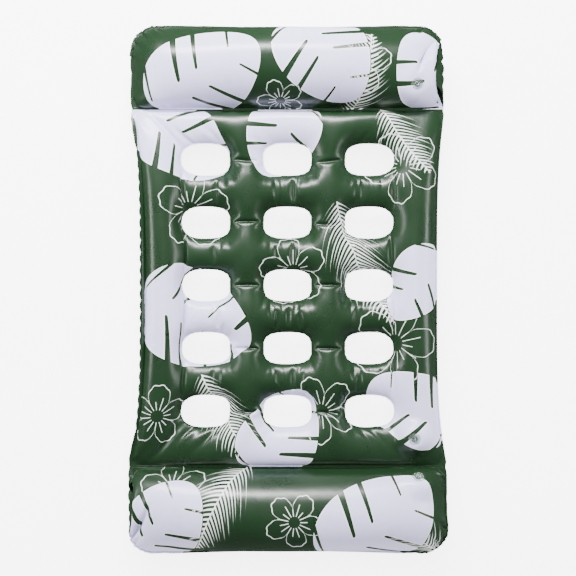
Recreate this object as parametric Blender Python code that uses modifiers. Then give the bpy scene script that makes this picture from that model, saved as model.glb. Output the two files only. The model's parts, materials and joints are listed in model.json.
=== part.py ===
"""Pool float mat: an inflated mat with fifteen holes between two inflated cushions.

Metres, +Z up, +Y towards the headrest. The origin is on the ground under the middle of
the float. Each of the three air chambers is a printed top sheet over a plain bottom
sheet, welded flat to each other round the edge and round each hole. The two cross welds
between the chambers are the folds that the headrest and the footrest turn on. Each
chamber has a valve: a flange on the sheet, a stem that pushes in, a stopper on a
tether and a flap inside that holds the air.
"""

import math

import bpy
from mathutils import Matrix, Vector
from mathutils.bvhtree import BVHTree

# Film and welds
FILM = 0.0004
WELD_GAP = 0.0003
EDGE_WELD = 0.007
FOLD_WELD = 0.004
FOLD_GAP = 0.0006

# Mat
MAT_LENGTH = 1.143
MAT_HEAD_HALF_WIDTH = 0.500
MAT_FOOT_HALF_WIDTH = 0.508
MAT_WAIST_HALF_WIDTH = 0.475
CELL_LENGTH = 0.260
CELL_WIDTH = 0.2008
GRID_SHIFT = 0.009
HOLE_LENGTH = 0.155
HOLE_WIDTH = 0.104
COLUMNS = 3
ROWS = 5

# How strongly each kind of weld holds the mat's film down
HOLE_HOLD = 0.85
SIDE_HOLD = 0.50
FOLD_HOLD = 1.00

# Cushions: how far each reaches from its fold, and how thick it stands
HEADREST_DEPTH = 0.272
HEADREST_HALF_LENGTH = 0.502
HEADREST_OUTER_RADIUS = 0.075
FOOTREST_DEPTH = 0.281
FOOTREST_HALF_LENGTH = 0.514
FOOTREST_OUTER_RADIUS = 0.090
CUSHION_SWELL = 0.120
CUSHION_DRAW = 0.016
CUSHION_END_SLOPE = 0.165
CUSHION_END_FALL = 0.34
CUSHION_LEVEL_SHARE = 0.19
CUSHION_FOLD_RADIUS = 0.030

# Valves
FLANGE_RADIUS = 0.019
FLANGE_THICKNESS = 0.0009
FLANGE_RIM = 0.0004
STEM_RADIUS = 0.0065
BORE_RADIUS = 0.0043
STEM_LENGTH = 0.022
STEM_PROUD = 0.0030
STEM_FOOT_RADIUS = 0.0078
STEM_FOOT = 0.0015
COLLAR_RADIUS = 0.0080
COLLAR = 0.0012
SEAT_GAP = 0.0003
SLIDE_GAP = 0.0005
STOPPER_RADIUS = 0.0078
STOPPER_THICKNESS = 0.0020
STOPPER_CHAMFER = 0.0004
BUNG_LENGTH = 0.0060
BUNG_GAP = 0.00025
TETHER_WIDTH = 0.0044
TETHER_REACH = 0.0105
TETHER_THICKNESS = 0.0011
STRAP_STEP = 0.0001
LUG_WIDTH = 0.0050
LUG_STEP = 0.0001
FLAP_RADIUS = 0.0066
FLAP_THICKNESS = 0.0005
SHEET_HOLE_RADIUS = 0.0100
CUT_OVERRUN = 0.004

# Where each valve sits: in from the float's right side, and from its fold
HEADREST_VALVE_FROM_SIDE = 0.096
HEADREST_VALVE_FROM_FOLD = 0.068
FOOTREST_VALVE_FROM_SIDE = 0.101
FOOTREST_VALVE_FROM_FOLD = 0.024
MAT_VALVE_FROM_SIDE = 0.090
MAT_VALVE_FROM_FOLD = 0.096

# Shape shares
HOLE_SQUARENESS = 2.7
CELL_MID_SHARE = 0.34
MARGIN_MID_SHARE = 0.62
WAIST_FLATNESS = 4
CUSHION_PROFILE_DEGREES = (0, 18, 38, 58, 78)
CORNER_TIGHTENING_SHARE = 0.55
CORNER_STEPS = 4
SIDE_STEPS = 8
END_STEPS = 2
TURN_STEPS = 24
SOFT_CREASE_DEGREES = 38
SEAT_STEPS = 72
SEAT_SHARES = (0.25, 0.5, 0.75, 1.0)

# Places that follow from the sizes above
OVERALL_LENGTH = HEADREST_DEPTH + MAT_LENGTH + FOOTREST_DEPTH
HEADREST_FOLD_Y = OVERALL_LENGTH / 2 - HEADREST_DEPTH
FOOTREST_FOLD_Y = FOOTREST_DEPTH - OVERALL_LENGTH / 2
MAT_CENTRE_Y = (HEADREST_FOLD_Y + FOOTREST_FOLD_Y) / 2
GRID_CENTRE_Y = MAT_CENTRE_Y + GRID_SHIFT
WELD_Z = CUSHION_SWELL + FILM + WELD_GAP / 2


def clear_scene():
    for item in list(bpy.data.objects):
        bpy.data.objects.remove(item)


def new_collection(name):
    group = bpy.data.collections.new(name)
    bpy.context.scene.collection.children.link(group)
    return group


def principled(name, colour, roughness):
    finish = bpy.data.materials.new(name)
    finish.use_nodes = True
    shader = finish.node_tree.nodes["Principled BSDF"]
    shader.inputs["Base Color"].default_value = (*colour, 1.0)
    shader.inputs["Roughness"].default_value = roughness
    shader.inputs["Metallic"].default_value = 0.0
    return finish


def printed_film():
    return principled("printed_film", (0.16, 0.24, 0.17), 0.22)


def plain_film():
    return principled("plain_film", (0.022, 0.066, 0.030), 0.25)


def clear_vinyl():
    return principled("clear_vinyl", (0.62, 0.70, 0.66), 0.18)


def mesh_object(name, points, faces, finish, group):
    """An object with these points and faces, in the collection group."""
    mesh = bpy.data.meshes.new(name)
    mesh.from_pydata(points, [], faces)
    mesh.materials.append(finish)
    item = bpy.data.objects.new(name, mesh)
    group.objects.link(item)
    return item


def loft(rings, closed_cap):
    """Quads between rings that hold as many points each, the outermost ring first."""
    points = [point for ring in rings for point in ring]
    count = len(rings[0])
    faces = []
    for row in range(len(rings) - 1):
        for step in range(count):
            here = row * count + step
            beside = row * count + (step + 1) % count
            faces.append((here, beside, beside + count, here + count))
    if closed_cap:
        faces += cap_faces((len(rings) - 1) * count, count)
    return points, faces


def cap_faces(first, count):
    """Strips across the crest of a cushion, whose ring ends at the middle of its right end."""
    ring = [first + count - 1] + list(range(first, first + count - 1))
    half = count // 2
    strips = [
        (ring[step], ring[step + 1], ring[count - step - 1], ring[count - step])
        for step in range(2, half - 2)
    ]
    ends = []
    for at in (0, half):
        fan = [ring[(at + offset) % count] for offset in (1, 2, -2, -1)]
        ends += [(ring[at], here, after) for here, after in zip(fan, fan[1:])]
    return strips + ends


def arc(centre_x, centre_y, radius, start_degrees):
    """A quarter turn of points, ends included."""
    turn = [math.radians(start_degrees + 90 * step / CORNER_STEPS) for step in range(CORNER_STEPS + 1)]
    return [(centre_x + radius * math.cos(a), centre_y + radius * math.sin(a)) for a in turn]


def between(first, last, steps):
    """Points between two others, both left out."""
    return [
        (
            first[0] + (last[0] - first[0]) * step / steps,
            first[1] + (last[1] - first[1]) * step / steps,
        )
        for step in range(1, steps)
    ]


def drawn_in(point, half_span, near, far, draw):
    """The point, with the cushion's far side drawn in between its corners."""
    x, y = point
    bow = max(1 - (x / half_span) ** 2, 0)
    return x, y - draw * bow * (y - near) / (far - near)


def cushion_outline(half_length, near, far, near_radius, far_radius, draw):
    """Anticlockwise round a cushion that lies on the +Y side of its fold."""
    corners = (
        arc(half_length - far_radius, far - far_radius, far_radius, 0),
        arc(far_radius - half_length, far - far_radius, far_radius, 90),
        arc(near_radius - half_length, near + near_radius, near_radius, 180),
        arc(half_length - near_radius, near + near_radius, near_radius, 270),
    )
    steps = (SIDE_STEPS, END_STEPS, SIDE_STEPS, END_STEPS)
    outline = []
    for index, corner in enumerate(corners):
        following = corners[(index + 1) % len(corners)]
        outline += corner + between(corner[-1], following[0], steps[index])
    half_span = half_length - far_radius
    return [drawn_in(point, half_span, near, far, draw) for point in outline]


def crown(share):
    """A cushion's height at a share of its half length, as a share of its height at the middle."""
    beyond_level = max(0.0, share**2 - CUSHION_LEVEL_SHARE**2)
    return 1 - CUSHION_END_FALL * beyond_level / (1 - CUSHION_LEVEL_SHARE**2)


def cushion_rings(half_length, depth, outer_radius):
    """Rings (x, distance from the fold, height above the weld) from the outer edge up to the crest."""
    near_weld = FOLD_WELD
    far_weld = depth - EDGE_WELD
    half_depth = (far_weld - near_weld) / 2
    flat = cushion_outline(
        half_length, FOLD_GAP / 2, depth, CUSHION_FOLD_RADIUS, outer_radius, CUSHION_DRAW
    )
    rings = [[(x, y, 0.0) for x, y in flat]]
    crest = math.sin(math.radians(CUSHION_PROFILE_DEGREES[-1]))
    for degrees in CUSHION_PROFILE_DEGREES:
        inward = 1 - math.cos(math.radians(degrees))
        rise = math.sin(math.radians(degrees)) / crest
        tight = 1 - CORNER_TIGHTENING_SHARE * inward
        outline = cushion_outline(
            half_length - EDGE_WELD - CUSHION_END_SLOPE * inward,
            near_weld + half_depth * inward,
            far_weld - half_depth * inward,
            (CUSHION_FOLD_RADIUS - FOLD_WELD) * tight,
            (outer_radius - EDGE_WELD) * tight,
            CUSHION_DRAW * (1 - inward / 2),
        )
        rings.append([(x, y, CUSHION_SWELL * rise * crown(x / half_length)) for x, y in outline])
    return rings


def place_rings(rings, fold_y, direction, side):
    """World points: direction +1 runs towards the head and -1 towards the foot, side +1 is the top sheet."""
    return [
        [(x, fold_y + direction * y, WELD_Z + side * (WELD_GAP / 2 + height)) for x, y, height in ring]
        for ring in rings
    ]


def thicken(item):
    """Gives an open sheet its film thickness on the outside."""
    shell = item.modifiers.new("film", "SOLIDIFY")
    shell.thickness = FILM
    shell.offset = 1.0
    shell.use_rim = True
    item.data.shade_smooth()
    item.data.set_sharp_from_angle(angle=math.radians(SOFT_CREASE_DEGREES))


def facing_out(points, faces, outward):
    """The faces, turned round where the first one looks against outward."""
    a, b, c = (Vector(points[index]) for index in faces[0][:3])
    normal = (b - a).cross(c - a)
    if normal.z * outward > 0:
        return faces
    return [tuple(reversed(face)) for face in faces]


def cushion_sheet(name, sizes, fold_y, direction, side, finish, group):
    rings = place_rings(cushion_rings(*sizes), fold_y, direction, side)
    points, faces = loft(rings, closed_cap=True)
    item = mesh_object(name, points, facing_out(points, faces, side), finish, group)
    thicken(item)
    return item


def oval(half_length, half_width, across, along):
    """The point of a squarish oval that lies towards (across, along)."""
    lean = ((abs(across) / half_length) ** HOLE_SQUARENESS + (abs(along) / half_width) ** HOLE_SQUARENESS)
    scale = lean ** (-1 / HOLE_SQUARENESS)
    return across * scale, along * scale


def cell_boundary():
    """Twelve points round a cell, anticlockwise from its lower left corner, as shares of its half sizes."""
    third = 1 / 3
    side_shares = (-1, -third, third)
    lower = [(share, -1) for share in side_shares]
    right = [(1, share) for share in side_shares]
    upper = [(-share, 1) for share in side_shares]
    left = [(-1, -share) for share in side_shares]
    return lower + right + upper + left


def hole_centres():
    """The middle of each hole, row by row."""
    return [
        ((column - (COLUMNS - 1) / 2) * CELL_LENGTH, GRID_CENTRE_Y + (row - (ROWS - 1) / 2) * CELL_WIDTH)
        for row in range(ROWS)
        for column in range(COLUMNS)
    ]


def mat_half_width(y):
    """Half the mat's width where the sides draw in to the waist."""
    share = (y - FOOTREST_FOLD_Y) / MAT_LENGTH
    ends = MAT_FOOT_HALF_WIDTH + (MAT_HEAD_HALF_WIDTH - MAT_FOOT_HALF_WIDTH) * share
    draw = (ends - MAT_WAIST_HALF_WIDTH) * (1 - (2 * share - 1) ** WAIST_FLATNESS)
    return ends - draw


def swell(x, y):
    """Height of the mat's sheet above the weld: each weld holds the film down, the nearer the more."""
    hold = 0.0
    for centre_x, centre_y in hole_centres():
        across, along = x - centre_x, y - centre_y
        weld = oval(HOLE_LENGTH / 2, HOLE_WIDTH / 2, across, along)
        hold += HOLE_HOLD**2 / ((across - weld[0]) ** 2 + (along - weld[1]) ** 2)
    side = mat_half_width(y) - EDGE_WELD
    hold += (SIDE_HOLD / (side - x)) ** 2 + (SIDE_HOLD / (side + x)) ** 2
    hold += (FOLD_HOLD / (HEADREST_FOLD_Y - FOLD_WELD - y)) ** 2
    hold += (FOLD_HOLD / (y - FOOTREST_FOLD_Y - FOLD_WELD)) ** 2
    return 1 / math.sqrt(hold)


def raised(x, y):
    """The point over (x, y) of the full mat."""
    return x, y, swell(x, y)


def cell_rings(centre_x, centre_y):
    """Rings round one hole, from its welded edge out to the crest where the cells meet."""
    crest, middle, edge = [], [], []
    for share_x, share_y in cell_boundary():
        across = share_x * CELL_LENGTH / 2
        along = share_y * CELL_WIDTH / 2
        weld = oval(HOLE_LENGTH / 2, HOLE_WIDTH / 2, across, along)
        part = tuple(a + (b - a) * CELL_MID_SHARE for a, b in zip(weld, (across, along)))
        edge.append((centre_x + weld[0], centre_y + weld[1], 0.0))
        middle.append(raised(centre_x + part[0], centre_y + part[1]))
        crest.append(raised(centre_x + across, centre_y + along))
    return [edge, middle, crest]


def block_boundary():
    """The crest points round the whole block of cells, anticlockwise from its lower left corner, as shares."""
    along_x = [2 * step / (3 * COLUMNS) - 1 for step in range(3 * COLUMNS)]
    along_y = [2 * step / (3 * ROWS) - 1 for step in range(3 * ROWS)]
    lower = [(share, -1) for share in along_x]
    right = [(1, share) for share in along_y]
    upper = [(-share, 1) for share in along_x]
    left = [(-1, -share) for share in along_y]
    return lower + right + upper + left


def mat_edge(share_x, share_y, side_weld, end_weld):
    """The point of the mat's outline, drawn in by its welds, that a point of the block's boundary faces."""
    half_length = MAT_LENGTH / 2 - end_weld
    y = MAT_CENTRE_Y + share_y * half_length
    return share_x * (mat_half_width(y) - side_weld), y


def margin_rings():
    """Rings from the block of cells out to the mat's edge."""
    crest, middle, weld, edge = [], [], [], []
    for share_x, share_y in block_boundary():
        inner = (
            share_x * COLUMNS * CELL_LENGTH / 2,
            GRID_CENTRE_Y + share_y * ROWS * CELL_WIDTH / 2,
        )
        line = mat_edge(share_x, share_y, EDGE_WELD, FOLD_WELD)
        outer = mat_edge(share_x, share_y, 0.0, FOLD_GAP / 2)
        part = [a + (b - a) * MARGIN_MID_SHARE for a, b in zip(inner, line)]
        crest.append((*inner, None))
        middle.append(raised(*part))
        weld.append((*line, 0.0))
        edge.append((*outer, 0.0))
    return [crest, middle, weld, edge]


def split_face(points, corners):
    """Two triangles of a four-cornered face, cut along the diagonal that lies nearer the full film."""
    a, b, c, d = corners
    middle = [sum(points[corner][axis] for corner in corners) / 4 for axis in (0, 1)]
    full = swell(*middle)
    first = abs((points[a][2] + points[c][2]) / 2 - full)
    second = abs((points[b][2] + points[d][2]) / 2 - full)
    if first <= second:
        return [(a, b, c), (a, c, d)]
    return [(a, b, d), (b, c, d)]


def mat_surface():
    """Points (x, y, height above the weld) and faces of the mat, with its cells sewn to its margin."""
    points, faces, found = [], [], {}

    def index_of(point):
        key = tuple(round(value / WELD_GAP) for value in point[:2])
        if key not in found:
            found[key] = len(points)
            points.append(point)
        return found[key]

    def add(rings):
        rows = [[index_of(point) for point in ring] for ring in rings]
        count = len(rows[0])
        for inner, outer in zip(rows, rows[1:]):
            for step in range(count):
                after = (step + 1) % count
                corners = (inner[step], inner[after], outer[after], outer[step])
                faces.extend(split_face(points, corners))

    for centre in hole_centres():
        add(cell_rings(*centre))
    add(margin_rings())
    return points, faces


def mat_sheet(name, side, finish, group):
    flat, faces = mat_surface()
    points = [(x, y, WELD_Z + side * (WELD_GAP / 2 + height)) for x, y, height in flat]
    item = mesh_object(name, points, facing_out(points, faces, side), finish, group)
    thicken(item)
    return item


def square_axes(up):
    """Two directions square to this one and to each other, the first towards the float's side."""
    side = Vector((1, 0, 0))
    side = (side - up * side.dot(up)).normalized()
    return side, up.cross(side)


def sheet_round(tree, place, up, radius):
    """Points of the sheet under a ring of this radius round the place, seen along its normal."""
    side, forward = square_axes(up)
    found = []
    for step in range(SEAT_STEPS):
        turn = math.tau * step / SEAT_STEPS
        above = place + (side * math.cos(turn) + forward * math.sin(turn)) * radius + up * CUSHION_SWELL
        under, _, _, _ = tree.ray_cast(above, -up)
        if under:
            found.append(under)
    return found


def seat_on(sheet, x, y):
    """The matrix of a valve seated on the outside of this sheet over (x, y), its Z square to the sheet there."""
    graph = bpy.context.evaluated_depsgraph_get()
    tree = BVHTree.FromObject(sheet, graph)
    above = WELD_Z + 2 * CUSHION_SWELL
    place, normal, _, _ = tree.ray_cast(Vector((x, y, above)), Vector((0, 0, -1)))
    rim = sheet_round(tree, place, normal.normalized(), FLANGE_RADIUS)
    up = Vector((0, 0, 0))
    for first, second in zip(rim, rim[1:] + rim[:1]):
        up += (first - place).cross(second - place)
    up.normalize()
    proud = 0.0
    for share in SEAT_SHARES:
        for under in sheet_round(tree, place, up, FLANGE_RADIUS * share):
            proud = max(proud, (under - place).dot(up))
    axes = Matrix((*square_axes(up), up)).transposed().to_4x4()
    return Matrix.Translation(place + up * proud) @ axes


def turned_piece(name, profile, frame, finish, group):
    """A turned piece. The profile (radius, height) runs down its outer side and is closed."""
    points = [(radius, 0.0, height) for radius, height in profile]
    edges = [(index, (index + 1) % len(points)) for index in range(len(points))]
    if min(radius for radius, _ in profile) == 0:
        edges = edges[:-1]
    mesh = bpy.data.meshes.new(name)
    mesh.from_pydata(points, edges, [])
    mesh.materials.append(finish)
    item = bpy.data.objects.new(name, mesh)
    group.objects.link(item)
    item.matrix_world = frame
    lathe = item.modifiers.new("turn", "SCREW")
    lathe.steps = TURN_STEPS
    lathe.render_steps = TURN_STEPS
    lathe.use_merge_vertices = True
    lathe.merge_threshold = FILM / 10
    lathe.use_smooth_shade = True
    return item


def cut_valve_hole(sheet, name, frame, cutters):
    """Cuts the round hole that a valve's stem passes through."""
    reach = FILM + CUT_OVERRUN
    profile = [
        (0.0, reach),
        (SHEET_HOLE_RADIUS, reach),
        (SHEET_HOLE_RADIUS, -reach),
        (0.0, -reach),
    ]
    cutter = turned_piece(name, profile, frame, sheet.data.materials[0], cutters)
    cutter.hide_render = True
    cutter.display_type = "WIRE"
    cut = sheet.modifiers.new("valve hole", "BOOLEAN")
    cut.operation = "DIFFERENCE"
    cut.solver = "EXACT"
    cut.object = cutter


def valve_flange(name, frame, finish, group):
    """The disc welded to the sheet, with a raised lip round the stem."""
    low = SEAT_GAP
    top = low + FLANGE_THICKNESS
    inner = STEM_RADIUS + SLIDE_GAP
    profile = [
        (inner, top),
        (FLANGE_RADIUS - FLANGE_THICKNESS, top),
        (FLANGE_RADIUS, low + FLANGE_RIM),
        (FLANGE_RADIUS, low),
        (inner, low),
    ]
    return turned_piece(name, profile, frame, finish, group)


def add_box(item, name, low, high, cutters):
    """Joins to a turned piece a box between two corners in the valve's own axes."""
    bpy.ops.mesh.primitive_cube_add(size=1)
    box = bpy.context.object
    box.name = name
    low, high = Vector(low), Vector(high)
    box.data.transform(Matrix.Translation((low + high) / 2) @ Matrix.Diagonal(high - low).to_4x4())
    box.data.materials.append(item.data.materials[0])
    box.matrix_world = item.matrix_world
    for holder in list(box.users_collection):
        holder.objects.unlink(box)
    cutters.objects.link(box)
    box.hide_render = True
    box.display_type = "WIRE"
    join = item.modifiers.new(name, "BOOLEAN")
    join.operation = "UNION"
    join.solver = "EXACT"
    join.object = box


def valve_stem(name, frame, finish, group, cutters):
    """The tube, with a collar and a lug round its mouth and a foot that keeps it from pulling out."""
    mouth = STEM_PROUD
    foot = mouth - STEM_LENGTH
    profile = [
        (BORE_RADIUS, mouth),
        (COLLAR_RADIUS, mouth),
        (COLLAR_RADIUS, mouth - COLLAR),
        (STEM_RADIUS, mouth - COLLAR),
        (STEM_RADIUS, foot + STEM_FOOT),
        (STEM_FOOT_RADIUS, foot + STEM_FOOT),
        (STEM_FOOT_RADIUS, foot),
        (BORE_RADIUS, foot),
    ]
    item = turned_piece(name, profile, frame, finish, group)
    low = ((BORE_RADIUS + STEM_RADIUS) / 2, -LUG_WIDTH / 2, mouth - COLLAR)
    high = (TETHER_REACH - SEAT_GAP, LUG_WIDTH / 2, mouth - LUG_STEP)
    add_box(item, name + "_lug", low, high, cutters)
    return item


def bung_radius(depth):
    """The widest that the bung may be at this depth and still swing out of the bore about the tether's end."""
    swing = TETHER_REACH + BORE_RADIUS - BUNG_GAP
    return math.sqrt(swing**2 - depth**2) - TETHER_REACH


def valve_stopper(name, frame, finish, group, cutters):
    """The cap with its tapered bung, joined to the strap that it swings on."""
    low = STEM_PROUD + SEAT_GAP
    top = low + STOPPER_THICKNESS
    profile = [
        (0.0, top),
        (STOPPER_RADIUS - STOPPER_CHAMFER, top),
        (STOPPER_RADIUS, top - STOPPER_CHAMFER),
        (STOPPER_RADIUS, low),
        (bung_radius(SEAT_GAP), low),
        (bung_radius(BUNG_LENGTH / 2), low - BUNG_LENGTH / 2),
        (bung_radius(BUNG_LENGTH), low - BUNG_LENGTH),
        (0.0, low - BUNG_LENGTH),
    ]
    item = turned_piece(name, profile, frame, finish, group)
    near = (STOPPER_RADIUS / 2, -TETHER_WIDTH / 2, low + STRAP_STEP)
    far = (TETHER_REACH, TETHER_WIDTH / 2, low + TETHER_THICKNESS)
    add_box(item, name + "_strap", near, far, cutters)
    return item


def valve_flap(name, frame, finish, group):
    """The disc under the stem's foot that the air inside presses shut."""
    top = STEM_PROUD - STEM_LENGTH - SEAT_GAP
    profile = [
        (0.0, top),
        (FLAP_RADIUS, top),
        (FLAP_RADIUS, top - FLAP_THICKNESS),
        (0.0, top - FLAP_THICKNESS),
    ]
    return turned_piece(name, profile, frame, finish, group)


def valve(chamber, sheet, x, y, finish, group, cutters):
    """One chamber's valve, and the hole for it in the chamber's top sheet."""
    frame = seat_on(sheet, x, y)
    cut_valve_hole(sheet, chamber + "_valve_hole", frame, cutters)
    valve_flange(chamber + "_valve_flange", frame, finish, group)
    valve_stem(chamber + "_valve_stem", frame, finish, group, cutters)
    valve_stopper(chamber + "_valve_stopper", frame, finish, group, cutters)
    valve_flap(chamber + "_valve_flap", frame, finish, group)
    print(chamber, "valve at", [round(value, 5) for value in frame.translation])
    print("  normal", [round(value, 5) for value in frame.col[2][:3]])
    print("  strap", [round(value, 5) for value in frame.col[0][:3]])


def main():
    clear_scene()
    group = new_collection("pool_float_mat")
    cutters = new_collection("cutters")
    cutters.hide_render = True
    printed, plain, clear = printed_film(), plain_film(), clear_vinyl()

    headrest = (HEADREST_HALF_LENGTH, HEADREST_DEPTH, HEADREST_OUTER_RADIUS)
    footrest = (FOOTREST_HALF_LENGTH, FOOTREST_DEPTH, FOOTREST_OUTER_RADIUS)
    head_top = cushion_sheet("headrest_top_sheet", headrest, HEADREST_FOLD_Y, 1, 1, printed, group)
    cushion_sheet("headrest_bottom_sheet", headrest, HEADREST_FOLD_Y, 1, -1, plain, group)
    foot_top = cushion_sheet("footrest_top_sheet", footrest, FOOTREST_FOLD_Y, -1, 1, printed, group)
    cushion_sheet("footrest_bottom_sheet", footrest, FOOTREST_FOLD_Y, -1, -1, plain, group)
    mat_top = mat_sheet("mat_top_sheet", 1, printed, group)
    mat_sheet("mat_bottom_sheet", -1, plain, group)

    head_x = HEADREST_HALF_LENGTH - HEADREST_VALVE_FROM_SIDE
    head_y = HEADREST_FOLD_Y + HEADREST_VALVE_FROM_FOLD
    foot_x = FOOTREST_HALF_LENGTH - FOOTREST_VALVE_FROM_SIDE
    foot_y = FOOTREST_FOLD_Y - FOOTREST_VALVE_FROM_FOLD
    mat_y = FOOTREST_FOLD_Y + MAT_VALVE_FROM_FOLD
    mat_x = mat_half_width(mat_y) - MAT_VALVE_FROM_SIDE
    valve("headrest", head_top, head_x, head_y, clear, group, cutters)
    valve("footrest", foot_top, foot_x, foot_y, clear, group, cutters)
    valve("mat", mat_top, mat_x, mat_y, clear, group, cutters)


main()
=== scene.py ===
"""Pool float mat: a perforated mat with a headrest and a footrest, welded from vinyl film."""

import json
import math

import bpy
import numpy as np
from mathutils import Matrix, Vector
from mathutils.geometry import delaunay_2d_cdt


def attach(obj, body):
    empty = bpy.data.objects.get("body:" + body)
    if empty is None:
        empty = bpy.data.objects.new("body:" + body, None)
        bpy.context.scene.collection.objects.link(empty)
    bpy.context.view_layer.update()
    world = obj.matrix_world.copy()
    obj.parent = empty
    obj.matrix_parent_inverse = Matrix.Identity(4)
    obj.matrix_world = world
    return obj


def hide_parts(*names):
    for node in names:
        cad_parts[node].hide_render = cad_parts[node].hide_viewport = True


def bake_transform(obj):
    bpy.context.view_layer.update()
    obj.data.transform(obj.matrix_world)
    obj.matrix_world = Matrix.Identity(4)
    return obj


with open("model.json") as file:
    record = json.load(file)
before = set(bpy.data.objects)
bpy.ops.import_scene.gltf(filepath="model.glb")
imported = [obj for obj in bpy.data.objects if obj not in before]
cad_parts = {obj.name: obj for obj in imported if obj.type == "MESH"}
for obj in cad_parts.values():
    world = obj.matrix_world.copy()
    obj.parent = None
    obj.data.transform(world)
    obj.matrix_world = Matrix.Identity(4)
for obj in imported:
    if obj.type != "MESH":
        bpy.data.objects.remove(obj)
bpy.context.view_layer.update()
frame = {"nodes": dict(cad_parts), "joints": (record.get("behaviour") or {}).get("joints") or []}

bl_info = {
    "name": "Pool float mat",
    "version": (1, 0, 0),
    "blender": (4, 5, 0),
    "location": "View3D > Sidebar > Float mat",
    "description": "Makes an inflated pool float mat with a headrest and a footrest",
    "category": "Mesh",
}


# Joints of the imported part, by name
JOINTS = {joint["name"]: joint for joint in frame["joints"]}
HEAD_FOLD_Y = JOINTS["headrest_fold"]["pos_m"][1]
FOOT_FOLD_Y = JOINTS["footrest_fold"]["pos_m"][1]
WELD_Z = JOINTS["headrest_fold"]["pos_m"][2]
FOLDS = ((1, HEAD_FOLD_Y), (-1, FOOT_FOLD_Y))


# Film and its welds
WELD_GAP = 0.0003
HOLE_WELD = 0.004
WELD_CORNER = 1.45
WELD_LEAN = 0.8
STRAIGHT_RIM = 0.95
SHARP_RIM = -0.5
FOLD_WELD = 0.004
FOLD_HALF_GAP = 0.0008
FOLD_LEAN = math.tan(math.radians(13.0))
FOLD_SOFTNESS = 0.004
FOLD_REACH = 0.2
FOLD_PULL_REACH = 0.05
FOLD_LEVEL_REACH = 0.09


# Weld lines of the flat film, before it is blown up: metres, mid-line at x = 0
PATTERN_LENGTH = 1.272
PATTERN_END = PATTERN_LENGTH / 2
PATTERN = dict(
    folds=(PATTERN_END, -PATTERN_END),
    half=dict(foot=0.508, waist=0.554, head=0.498),
    head=dict(half=0.516, depth=0.320, radius=0.13, bow=0.040),
    foot=dict(half=0.528, depth=0.330, radius=0.125, bow=0.040),
    hole_half=(0.0800, 0.0515),
    hole_pitch=(0.286, 0.218),
    hole_shift=0.009,
)
# Places that they are drawn to when the film is full
FULL = dict(
    folds=(HEAD_FOLD_Y, FOOT_FOLD_Y),
    half=dict(foot=0.505, waist=0.472, head=0.497),
    head=dict(half=0.498, depth=0.268, radius=0.085, bow=-0.013),
    foot=dict(half=0.510, depth=0.277, radius=0.085, bow=-0.016),
    hole_half=(0.0795, 0.0545),
    hole_pitch=(0.260, 0.2008),
    hole_shift=0.0135,
)
HOLE_ROWS = 5
HOLE_COLUMNS = 3
HOLE_SQUARENESS = 2.7
BEYOND_HOLES = 0.02
WAIST_FLATNESS = 4
CORNER_WELD_CUSHION = 0.04
CORNER_WELD_MAT = 0.03
OUTSIDE = 1.2

# Part of the pattern's length that each chamber takes up
NO_FOLD = 10.0
CHAMBERS = {
    "mat": (-PATTERN_END, PATTERN_END),
    "headrest": (PATTERN_END, NO_FOLD),
    "footrest": (-NO_FOLD, -PATTERN_END),
}


# Film drawn in along the mat's sides and ends, so that its outer tubes lie without kinks
SIDE_GATHER = 0.115
SIDE_GATHER_FROM = (0.30, 0.40)
END_GATHER = 0.09
END_GATHER_REACH = 0.15
END_GATHER_HALF = (0.40, 0.50)


# Seam raised towards the top at the headrest's right end, the footrest's left end and the mat's
# left side, so that the bottom sheet shows there: side, edge, and how far the seam is raised and
# drawn in, the sheets are pulled in, and the underside swells out
HEAD_END_RAISE = (1, 0.512, 0.055, 0.028, 0.016, 0.052)
FOOT_END_RAISE = (-1, 0.524, 0.050, 0.022, 0.010, 0.038)
MAT_SIDE_RAISE = (-1, 0.540, 0.036, 0.014, 0.005, 0.018)
END_RAISE_RUN = 1.25
END_RAISE_ROUNDNESS = 0.8
SIDE_RAISE_ROUNDNESS = 0.7
FLANK_REACH = (0.33, 0.40)
FLANK_WIDTH = 0.20
FLANK_SCALLOP = 0.006


# Gathers round the cushions' ends
GATHER_DEPTH = 0.0035
GATHER_PITCH = 0.042
GATHER_FROM = (0.36, 0.42)
GATHER_EASE = 0.05
GATHER_MIDDLE = 0.6


# Creases and gathers across the mat's bars
CREASE_ASIDE = 0.041
CREASE_WIDTH = 0.0045
CREASE_DEPTH = 0.0024
CREASE_UNEVENNESS = (12.9, 7.3, 3.1)
PUCKER_PITCH = 0.013
PUCKER_DEPTH = 0.0011
PUCKER_REACH = (0.030, 0.048)
PUCKER_MIDDLE = 0.020
PUCKER_FADING = 41
PUCKER_SHIFT = (3, 5)
BEYOND_BARS = 0.25


# Valves: where the film comes up to the flange, and its opening under the stem
VALVE_SEAT = (0.022, 0.070)
VALVE_OPENING = 0.0078
VALVE_OPENING_RIM = 0.0100
VALVE_OPENING_REACH = 0.02


# Blowing up: spring of the film, air, and how firmly each weld line is held to its place
FILM_SPRING = 0.87
FILM_SLACK = 0.2
FILM_EASE = 1.1
AIR_PRESSURE = 0.35
AIR_DAMPING = 0.97
HOLD_SIDE = 8.0
HOLD_FOLD = 6.0
HOLD_OUTLINE = 1.0
HOLD_HOLE = 2.2
HOLD_HEIGHT = 4.0
HOLD_RAISED = 5.0
RAISED_FULLY = 0.04
FIRST_STEP = 0.022
HOLE_STEP = 0.85
CLEAR_OF_WELD = 0.6
CLEAR_OF_CORNER = 0.5
ROUNDS = (800, 500, 300)
STIFFNESS = (0.02, 0.01, 0.008)
UNEVENNESS = 0.0003

FREE, OUTLINE, FOLD, HOLE = range(4)
SAME = 1e-6
SLIVER = 1e-8


# Stage
FLOOR_REACH = 7.0
BACKDROP_HEIGHT = 6.0
SENSOR = 36
VIEW_WIDTH = 1.843
CAMERA_X, CAMERA_Y = 0.0016, 0.005


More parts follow.
